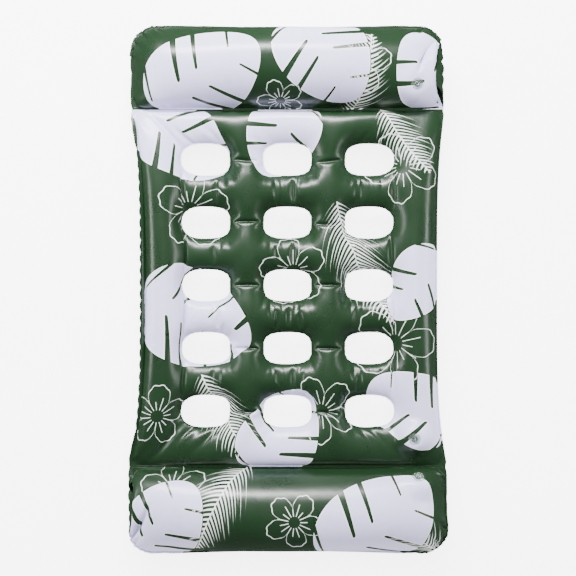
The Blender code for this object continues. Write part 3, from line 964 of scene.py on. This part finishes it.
def weld_bead(chamber, film, settings, tree, material):
    """The raised bead that runs along the middle of every weld of a chamber."""
    flat, faces, top, _ = film
    flat, _, places, step, rim = chamber_cut(chamber, flat, faces, top, settings)
    rim, (flat, places, step) = used_part(rim, flat, places, step)
    places = places + weld_reach(chamber, places[:, 2], step, settings) / 2
    wire = bpy.data.meshes.new(f"{chamber}_weld_bead")
    wire.from_pydata(places.tolist(), rim.tolist(), [])
    pattern = wire.attributes.new("pattern", "FLOAT_VECTOR", "POINT")
    spots = np.column_stack([flat + step / 2, np.zeros(len(flat))])
    pattern.data.foreach_set("vector", spots.astype(np.float32).ravel())
    bead = put_in_scene(wire.name, wire)
    sweep = bead.modifiers.new("Weld bead", "NODES")
    sweep.node_group = tree
    values = {"Radius": settings.bead_radius, "Sides": 6, "Film": material}
    for socket in tree.interface.items_tree:
        if socket.in_out == "INPUT" and socket.name in values:
            sweep[socket.identifier] = values[socket.name]
    bpy.context.view_layer.update()
    graph = bpy.context.evaluated_depsgraph_get()
    solid = bpy.data.meshes.new_from_object(bead.evaluated_get(graph))
    bead.modifiers.clear()
    bead.data = solid
    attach(bead, chamber)


# Materials
def worked_out(operation, swapped=False):
    """The method by which a value of a tree takes part in one kind of sum."""

    def method(self, *other):
        values = (*other, self) if swapped else (self, *other)
        return self.wiring.math(operation, *values)

    return method


class Value:
    """What a node gives, to go on with in a formula."""

    def __init__(self, wiring, socket):
        self.wiring = wiring
        self.socket = socket

    __add__ = worked_out("ADD")
    __sub__ = worked_out("SUBTRACT")
    __rsub__ = worked_out("SUBTRACT", swapped=True)
    __mul__ = worked_out("MULTIPLY")
    __truediv__ = worked_out("DIVIDE")
    __pow__ = worked_out("POWER")
    __abs__ = worked_out("ABSOLUTE")
    most = worked_out("MAXIMUM")
    least = worked_out("MINIMUM")
    sine = worked_out("SINE")
    cosine = worked_out("COSINE")
    root = worked_out("SQRT")
    sign = worked_out("SIGN")
    whole = worked_out("FLOOR")
    rest = worked_out("FRACT")
    angle = worked_out("ARCTAN2")


class Wiring:
    """Short ways to add and join the nodes of one tree."""

    def __init__(self, tree):
        self.tree = tree

    def add(self, kind, inputs=None, **settings):
        """A new node with its settings, then its inputs by name or number."""
        node = self.tree.nodes.new(kind)
        for name, value in settings.items():
            setattr(node, name, value)
        self.fill(node, inputs or {})
        return node

    def fill(self, node, inputs):
        for name, value in inputs.items():
            value = getattr(value, "socket", value)
            if isinstance(value, bpy.types.NodeSocket):
                self.tree.links.new(value, node.inputs[name])
            else:
                node.inputs[name].default_value = value

    def value(self, kind, inputs, output=0, **settings):
        return Value(self, self.add(kind, inputs, **settings).outputs[output])

    def math(self, operation, *values):
        return self.value("ShaderNodeMath", dict(enumerate(values)), operation=operation)

    def smooth(self, value, low, high):
        """0 below low, 1 above high, smooth between."""
        ends = {0: value, 1: low, 2: high}
        return self.value("ShaderNodeMapRange", ends, interpolation_type="SMOOTHSTEP")

    def blend(self, share, first, second):
        inputs = {0: share, 6: first, 7: second}
        return self.value("ShaderNodeMix", inputs, 2, data_type="RGBA")

    def noise(self, place, scale, detail=2.0, roughness=0.5):
        inputs = {"Vector": place, "Scale": scale, "Detail": detail, "Roughness": roughness}
        return self.value("ShaderNodeTexNoise", inputs, "Fac")

    def placed(self, place, x, y, degrees):
        """The pattern's coordinates seen from a motif at (x, y), turned by degrees."""
        turn = (0, 0, math.radians(degrees))
        inputs = {"Vector": place, "Location": (x, y, 0), "Rotation": turn}
        return self.value("ShaderNodeMapping", inputs, "Vector", vector_type="TEXTURE")


def new_material(name):
    material = bpy.data.materials.new(name)
    material.use_nodes = True
    tree = material.node_tree
    return material, Wiring(tree), tree.nodes["Principled BSDF"]


def motif_group(motif, sizes):
    """A group that takes a place and sizes, and gives the depth inside a motif in metres."""
    inputs = {"Place": ("Vector", None)}
    inputs.update((size, ("Float", default)) for size, default in sizes.items())
    name = motif.__name__.replace("_", " ").capitalize()
    tree = new_group(name, "ShaderNodeTree", inputs, ("Depth", "Float"))
    w = Wiring(tree)
    given = w.add("NodeGroupInput").outputs
    place = w.add("ShaderNodeSeparateXYZ", {0: given["Place"]}).outputs
    values = [Value(w, socket) for socket in (*place[:2], *(given[size] for size in sizes))]
    w.add("NodeGroupOutput", {0: motif(*values)})
    return tree


def slotted_leaf(x, y, length, width, slots, rib):
    """A broad leaf along +X with slots that run in from its edge, rounded at their inner ends."""
    along, across = x / length, abs(y)
    inner = along * (1.0 - along)
    swell = (inner * 4.0).most(0.0) ** 0.5
    half = swell * (along * -0.45 + 1.2) * (width * 0.5)
    slant = across / (width * 1.1)
    row = (along - slant * 0.42) * slots
    uneven = (row * 4.1).sine() * 0.16
    aside = ((row + uneven + 20.5).rest() - 0.5) * (length / slots)
    short = (rib - across).most(0.0)
    slot = (aside * aside + short * short).root() - (across * 0.045 + 0.0045)
    return ((half - across) * 0.8).least(slot).least(inner * length)


def feather_frond(x, y, length, width, leaflets):
    """A fine frond along +X: narrow leaflets that slant forward from a thin rib."""
    side = y - x * x * 0.55
    along, across = x / length, abs(side)
    inner = along * (1.0 - along)
    swell = (inner * 4.0).most(0.0) ** 0.6
    share = across / (swell * (width * 0.5)).most(0.001)
    forward = across / length * (across * 7.0 + 0.55)
    handed = side.sign() * 0.25
    count = (along - forward) * leaflets + handed + 50.0
    number = count.whole() + handed * 9.0
    longer = (number * 2.7).sine() * 0.22 + 0.85
    pitch = length / leaflets
    aside = abs((count.rest() - 0.5) * pitch)
    slim = (1.0 - (share / longer) ** 1.5) * (pitch * 0.24)
    return ((slim - aside) * 0.66).most(0.0016 - across).least(inner * length)


def outlined_blossom(x, y, radius, petals, line):
    """A five-petalled blossom in a thin line, with short strokes running out from its heart."""
    far = (x * x + y * y).root()
    turn = y.angle(x)
    lobe = abs((turn * (petals * 0.5)).cosine()) ** 0.55
    ruffle = (turn * 23.0).sine() * 0.018
    edge = radius * (lobe * 0.62 + 0.36 + ruffle)
    share = far / radius
    aside = abs((turn * 2.387 + 20.0).rest() - 0.5) * (far * 0.419)
    reach = (turn * 7.0).sine() * 0.09 + 0.52
    stroke = (line - aside).least((reach - share).least(share - 0.20) * radius)
    return (line - abs(far - edge) * 0.75).most(stroke)


# Print of each chamber, in metres of the flat film: place, turn and sizes of each motif
LEAVES = {
    "headrest": (
        (-0.42, 0.64, 35, 0.4, 0.3, 4, 0.035),
        (0.02, 0.985, -58, 0.36, 0.28, 4, 0.03),
        (0.52, 0.64, 118, 0.3, 0.24, 3, 0.028),
    ),
    "mat": (
        (-0.5, 0.64, -42, 0.36, 0.3, 4, 0.032),
        (0.05, 0.66, -118, 0.3, 0.24, 3, 0.03),
        (-0.56, -0.02, -22, 0.46, 0.34, 5, 0.034),
        (0.56, 0.13, -130, 0.3, 0.22, 3, 0.03),
        (-0.1, -0.655, 62, 0.34, 0.26, 4, 0.03),
        (0.58, -0.5, 150, 0.34, 0.26, 4, 0.03),
    ),
    "footrest": (
        (0.12, -0.99, 42, 0.42, 0.32, 4, 0.034),
        (-0.5, -0.98, 52, 0.34, 0.28, 4, 0.03),
    ),
}
FRONDS = {
    "headrest": ((0.2, 0.6, 70, 0.3, 0.15, 20),),
    "mat": (
        (0.17, 0.3, -78, 0.46, 0.2, 30),
        (-0.3, -0.3, -66, 0.36, 0.17, 24),
        (0.3, 0.64, -60, 0.3, 0.14, 20),
    ),
    "footrest": (
        (-0.12, -0.62, -128, 0.34, 0.17, 22),
        (0.5, -0.98, 130, 0.3, 0.15, 20),
    ),
}
BLOSSOMS = {
    "headrest": ((0.22, 0.8, 10, 0.1), (-0.02, 0.68, 40, 0.075)),
    "mat": (
        (-0.34, 0.27, 15, 0.14),
        (0.4, 0.42, 50, 0.13),
        (0.02, 0.06, 30, 0.12),
        (0.38, -0.19, 0, 0.15),
        (-0.46, -0.44, 20, 0.11),
        (0.12, -0.42, 44, 0.12),
    ),
    "footrest": ((-0.36, -0.72, 25, 0.11), (0.02, -0.83, 60, 0.09)),
}


MOTIFS = (
    (slotted_leaf, LEAVES, dict(Length=0.30, Width=0.24, Slots=4, Rib=0.03)),
    (feather_frond, FRONDS, dict(Length=0.36, Width=0.16, Leaflets=22)),
    (outlined_blossom, BLOSSOMS, dict(Radius=0.10, Petals=5, Line=0.0011)),
)


def print_depth(w, chamber, pattern, groups):
    """Depth inside the solid shapes, and inside the fine lines, of a chamber's print."""
    depths = []
    for group, (_, table, sizes) in zip(groups, MOTIFS):
        deepest = None
        for x, y, turn, *values in table[chamber]:
            inputs = {"Place": w.placed(pattern, x, y, turn)}
            inputs.update(zip(sizes, map(float, values)))
            depth = w.value("ShaderNodeGroup", inputs, "Depth", node_tree=group)
            deepest = deepest.most(depth) if deepest else depth
        depths.append(deepest)
    solid, fronds, blossoms = depths
    return solid, fronds.most(blossoms)


def film_material(name, settings):
    """Glossy film in its own colour, and what a print on it goes by."""
    material, w, shader = new_material(name)
    pattern = w.add("ShaderNodeAttribute", attribute_name="pattern").outputs["Vector"]
    place = w.add("ShaderNodeTexCoord").outputs["Object"]
    cloud = w.noise(place, 9.0, 3.0)
    grain = w.noise(place, 260.0, 2.0)
    scuff = w.smooth(w.noise(place, 38.0, 6.0, 0.7), 0.60, 0.78)
    drawn = w.value("ShaderNodeMapping", {"Vector": pattern, "Scale": (1.0, 0.12, 1.0)})
    streaks = w.noise(drawn, 170.0, 1.0)
    soft = w.noise(place, 24.0, 1.0)
    height = grain * 0.06 + (soft * 0.8 + streaks * 0.16)
    bump = w.value("ShaderNodeBump", {"Strength": 0.6, "Distance": 0.0014, "Height": height})
    light = [min(1.0, c * 1.25) for c in settings.film_colour]
    dark = [c * 0.85 for c in settings.film_colour]
    film = w.blend(cloud, (*dark, 1), (*light, 1))
    rough = scuff * 0.10 + (cloud * 0.14 + 0.22)
    w.fill(shader, {"Base Color": film, "Roughness": rough, "Normal": bump})
    w.fill(shader, {"Specular IOR Level": 0.5})
    return material, w, shader, pattern, cloud, film


def printed_film(settings, chamber, groups):
    """Film with its print: light shapes with a dark rim, and fine lines beside them."""
    name = f"Printed film {chamber}"
    material, w, shader, pattern, cloud, film = film_material(name, settings)
    solid, fine = print_depth(w, chamber, pattern, groups)
    shape = w.smooth(solid, -0.0004, 0.0004)
    whole = w.smooth(solid, -0.0030, -0.0018)
    halo = shape - w.smooth(solid, 0.0022, 0.0034)
    line = w.smooth(fine, -0.0004, 0.0004) * (1.0 - whole)
    ink = settings.print_colour
    ink_tone = w.blend(cloud, (*[c * 0.90 for c in ink], 1), (*ink, 1))
    colour = w.blend(whole - shape, film, (*[c * 0.35 for c in settings.film_colour], 1))
    colour = w.blend(line, colour, (0.80, 0.84, 0.82, 1))
    colour = w.blend(shape, colour, ink_tone)
    colour = w.blend(halo, colour, (0.90, 0.90, 0.95, 1))
    w.fill(shader, {"Base Color": colour})
    return material


def clear_vinyl():
    material, w, shader = new_material("Clear vinyl")
    cloud = w.noise(w.add("ShaderNodeTexCoord").outputs["Object"], 140.0, 3.0)
    tone = w.blend(cloud, (0.66, 0.76, 0.70, 1), (0.80, 0.88, 0.84, 1))
    w.fill(shader, {"Roughness": cloud * 0.14 + 0.08, "Base Color": tone})
    w.fill(shader, {"Transmission Weight": 0.95, "IOR": 1.53})
    return material


def pale_floor():
    material, w, shader = new_material("Pale floor")
    w.fill(shader, {"Base Color": (0.90, 0.90, 0.90, 1), "Roughness": 0.8})
    w.fill(shader, {"Emission Color": (1.0, 1.0, 1.0, 1), "Emission Strength": 5.0})
    return material


class FLOATMAT_OT_film(bpy.types.Operator):
    """Blows up the welded film and makes the six sheets of the three chambers"""

    bl_idname = "floatmat.film"
    bl_label = "Inflate the film"

    def execute(self, context):
        settings = context.scene.float_mat
        flat, faces, top, bottom = inflated_film(3)
        top = set_on_folds(flat, top, settings)
        bottom = set_on_folds(flat, bottom, settings)
        film = (flat, faces, top, bottom)
        groups = [motif_group(motif, sizes) for motif, _, sizes in MOTIFS]
        plain = film_material("Plain film", settings)[0]
        bead_tree = weld_bead_tree()
        fold_web("headrest", HEAD_FOLD_Y, FULL["half"]["head"], plain)
        fold_web("footrest", FOOT_FOLD_Y, FULL["half"]["foot"], plain)
        for chamber in CHAMBERS:
            printed = printed_film(settings, chamber, groups)
            weld_bead(chamber, film, settings, bead_tree, printed)
            for side, material, slot in (
                ("top", printed, "printed_film"),
                ("bottom", plain, "plain_film"),
            ):
                piece = film_sheet(chamber, side, film, settings, material)
                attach(piece, chamber)
                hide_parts(f"{chamber}_{side}_sheet")
        return {"FINISHED"}


class FLOATMAT_OT_valves(bpy.types.Operator):
    """Gives the three valves their clear vinyl"""

    bl_idname = "floatmat.valves"
    bl_label = "Finish the valves"

    def execute(self, context):
        clear = clear_vinyl()
        for name, node in frame["nodes"].items():
            if "valve" in name:
                for slot in node.material_slots:
                    slot.material = clear
        return {"FINISHED"}


class FLOATMAT_OT_stage(bpy.types.Operator):
    """Makes the pale floor, the studio lights and the camera above the mat"""

    bl_idname = "floatmat.stage"
    bl_label = "Make the stage"

    def execute(self, context):
        settings = context.scene.float_mat
        material = pale_floor()
        bpy.ops.mesh.primitive_plane_add(size=2 * FLOOR_REACH, location=(0, 0, -0.001))
        floor = context.object
        bpy.ops.mesh.primitive_cylinder_add(
            vertices=96, radius=FLOOR_REACH, depth=BACKDROP_HEIGHT, end_fill_type="NOTHING"
        )
        backdrop = context.object
        backdrop.data.flip_normals()
        backdrop.data.shade_smooth()
        backdrop.location.z = BACKDROP_HEIGHT / 2 - 0.002
        backdrop.visible_diffuse = backdrop.visible_shadow = False
        for piece, name in ((floor, "floor"), (backdrop, "backdrop")):
            piece.name = name
            piece.data.materials.append(material)
            piece.visible_glossy = False

        world = bpy.data.worlds.new("Studio")
        world.use_nodes = True
        background = world.node_tree.nodes["Background"]
        background.inputs["Color"].default_value = (0.95, 0.97, 1.0, 1)
        background.inputs["Strength"].default_value = 0.15
        context.scene.world = world
        for name, place, size, power, shows in (
            ("Head light", (-0.5, 2.7, 2.4), (2.6, 0.45), 340, True),
            ("Left light", (-2.6, 0.3, 1.9), (1.8, 0.5), 40, True),
            ("Right light", (2.6, 0.1, 1.9), (1.8, 0.5), 36, True),
            ("Top light", (0.0, 0.9, 4.2), (2.0, 2.0), 205, False),
        ):
            light = bpy.data.lights.new(name, "AREA")
            light.shape = "RECTANGLE"
            light.size, light.size_y = size
            light.energy = power
            lamp = put_in_scene(name, light, place)
            lamp.rotation_euler = (-Vector(place)).to_track_quat("-Z", "Y").to_euler()
            lamp.visible_glossy = shows

        camera = bpy.data.cameras.new("Camera above")
        camera.sensor_width = SENSOR
        camera.lens = SENSOR * (settings.camera_height - WELD_Z) / VIEW_WIDTH
        place = (CAMERA_X, CAMERA_Y, settings.camera_height)
        context.scene.camera = put_in_scene("Camera above", camera, place)
        return {"FINISHED"}


class FLOATMAT_PT_panel(bpy.types.Panel):
    bl_idname = "FLOATMAT_PT_panel"
    bl_label = "Float mat"
    bl_space_type = "VIEW_3D"
    bl_region_type = "UI"
    bl_category = "Float mat"

    def draw(self, context):
        settings = context.scene.float_mat
        for name in settings.bl_rna.properties.keys():
            if name not in {"rna_type", "name"}:
                self.layout.prop(settings, name)
        for operator in OPERATORS:
            self.layout.operator(operator.bl_idname)


OPERATORS = (FLOATMAT_OT_film, FLOATMAT_OT_valves, FLOATMAT_OT_stage)
CLASSES = (FloatMatSettings, *OPERATORS, FLOATMAT_PT_panel)


def register():
    for cls in CLASSES:
        bpy.utils.register_class(cls)
    bpy.types.Scene.float_mat = bpy.props.PointerProperty(type=FloatMatSettings)


def unregister():
    del bpy.types.Scene.float_mat
    for cls in reversed(CLASSES):
        bpy.utils.unregister_class(cls)


def main():
    register()
    bpy.ops.floatmat.film()
    bpy.ops.floatmat.valves()
    bpy.ops.floatmat.stage()


if __name__ == "__main__":
    main()
